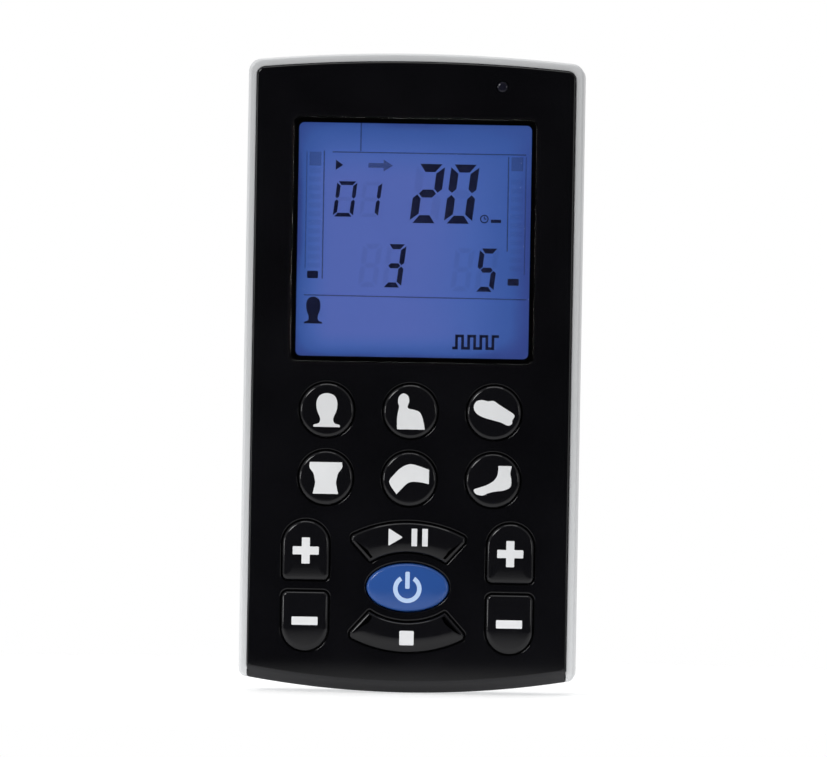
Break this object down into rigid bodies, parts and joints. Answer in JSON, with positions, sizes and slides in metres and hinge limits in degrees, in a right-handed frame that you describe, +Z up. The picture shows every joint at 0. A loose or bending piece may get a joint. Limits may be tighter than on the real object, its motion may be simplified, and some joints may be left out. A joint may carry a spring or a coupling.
{
  "type": "hand-held TENS unit",
  "caption": "Slim hand-held nerve and muscle stimulator with a large display, body-part keys, plus and minus keys, output sockets and a belt clip.",
  "frame": {"origin": "the middle of the bounding box's base, under the lowest point of the housing's curved lower end", "axes": "+Z up the length of the unit from the adaptor socket to the output sockets, -Y out of the display and keys, +Y out of the battery door and belt clip, +X to the right of somebody looking at the display"},
  "size_m": [0.063, 0.03, 0.12],
  "materials": {
    "front_black": "glossy injection-moulded black plastic",
    "key_black": "glossy black key with a pale printed symbol",
    "key_blue": "glossy blue key with a pale symbol",
    "window": "clear flat window",
    "lens": "translucent light pipe",
    "silicone": "matt silicone sheet",
    "silicone_pink": "layered conductive elastomer strip",
    "carbon": "printed carbon pads",
    "foam": "matt black foam",
    "lcd": "blue liquid-crystal cell with dark segments",
    "inner_white": "white plastic",
    "board_green": "green solder mask",
    "led_body": "small lamp body",
    "chip": "black moulding compound",
    "bright_metal": "bright nickel plating",
    "screw_steel": "zinc-plated steel",
    "capacitor_sleeve": "dark blue sleeve",
    "ferrite": "dark grey ferrite",
    "copper": "enamelled copper wire under tape",
    "socket_black": "black moulded plastic",
    "shell_white": "fine-textured white plastic",
    "cell_jacket": "printed metal jacket, dark teal with a pale band",
    "clip_black": "fine-textured black plastic"
  },
  "bodies": {
    "housing": {"front_cover": "front_black", "display_window": "window", "led_lens": "lens", "key_membrane": "silicone", "key_contacts": "carbon", "display_gasket": "foam", "lcd_glass": "lcd", "lcd_holder": "inner_white", "lcd_backlight": "inner_white", "lcd_contact_strips": "silicone_pink", "main_board": "board_green", "status_led": "led_body", "processor_chip": "chip", "crystal": "bright_metal", "capacitors": "capacitor_sleeve", "buzzer": "chip", "transformer_cores": "ferrite", "transformer_windings": "copper", "output_jack_left": "socket_black", "output_jack_right": "socket_black", "jack_pins": "bright_metal", "adaptor_socket": "bright_metal", "adaptor_tongue": "socket_black", "board_screws": "screw_steel", "rear_cover": "shell_white", "case_screws": "screw_steel", "cell_springs": "bright_metal", "cell_contacts": "bright_metal", "cell_1": "cell_jacket", "cell_2": "cell_jacket", "cell_3": "cell_jacket", "cell_4": "cell_jacket"},
    "key_head": {"key_head": "key_black"},
    "key_shoulder": {"key_shoulder": "key_black"},
    "key_hand": {"key_hand": "key_black"},
    "key_back": {"key_back": "key_black"},
    "key_knee": {"key_knee": "key_black"},
    "key_foot": {"key_foot": "key_black"},
    "key_plus_left": {"key_plus_left": "key_black"},
    "key_minus_left": {"key_minus_left": "key_black"},
    "key_plus_right": {"key_plus_right": "key_black"},
    "key_minus_right": {"key_minus_right": "key_black"},
    "key_mode": {"key_mode": "key_black"},
    "key_set": {"key_set": "key_black"},
    "key_power": {"key_power": "key_blue"},
    "battery_door": {"battery_door": "shell_white"},
    "belt_clip": {"belt_clip": "clip_black"}
  },
  "joints": [
    {"name": "battery_door_hinge", "type": "hinge", "parent": "housing", "child": "battery_door", "pos_m": [0, 0.0067, 0.0073], "axis": [-1, 0, 0], "range_deg": [0, 95]},
    {"name": "belt_clip_slide", "type": "slide", "parent": "housing", "child": "belt_clip", "axis": [0, 0, 1], "range_m": [0, 0.024]},
    {"name": "key_head_press", "type": "slide", "parent": "housing", "child": "key_head", "axis": [0, 1, 0], "range_m": [0, 0.0008], "stiffness_N_per_m": 500},
    {"name": "key_shoulder_press", "type": "slide", "parent": "housing", "child": "key_shoulder", "axis": [0, 1, 0], "range_m": [0, 0.0008], "stiffness_N_per_m": 500},
    {"name": "key_hand_press", "type": "slide", "parent": "housing", "child": "key_hand", "axis": [0, 1, 0], "range_m": [0, 0.0008], "stiffness_N_per_m": 500},
    {"name": "key_back_press", "type": "slide", "parent": "housing", "child": "key_back", "axis": [0, 1, 0], "range_m": [0, 0.0008], "stiffness_N_per_m": 500},
    {"name": "key_knee_press", "type": "slide", "parent": "housing", "child": "key_knee", "axis": [0, 1, 0], "range_m": [0, 0.0008], "stiffness_N_per_m": 500},
    {"name": "key_foot_press", "type": "slide", "parent": "housing", "child": "key_foot", "axis": [0, 1, 0], "range_m": [0, 0.0008], "stiffness_N_per_m": 500},
    {"name": "key_plus_left_press", "type": "slide", "parent": "housing", "child": "key_plus_left", "axis": [0, 1, 0], "range_m": [0, 0.0008], "stiffness_N_per_m": 500},
    {"name": "key_minus_left_press", "type": "slide", "parent": "housing", "child": "key_minus_left", "axis": [0, 1, 0], "range_m": [0, 0.0008], "stiffness_N_per_m": 500},
    {"name": "key_plus_right_press", "type": "slide", "parent": "housing", "child": "key_plus_right", "axis": [0, 1, 0], "range_m": [0, 0.0008], "stiffness_N_per_m": 500},
    {"name": "key_minus_right_press", "type": "slide", "parent": "housing", "child": "key_minus_right", "axis": [0, 1, 0], "range_m": [0, 0.0008], "stiffness_N_per_m": 500},
    {"name": "key_mode_press", "type": "slide", "parent": "housing", "child": "key_mode", "axis": [0, 1, 0], "range_m": [0, 0.0008], "stiffness_N_per_m": 500},
    {"name": "key_set_press", "type": "slide", "parent": "housing", "child": "key_set", "axis": [0, 1, 0], "range_m": [0, 0.0008], "stiffness_N_per_m": 500},
    {"name": "key_power_press", "type": "slide", "parent": "housing", "child": "key_power", "axis": [0, 1, 0], "range_m": [0, 0.0008], "stiffness_N_per_m": 500}
  ]
}
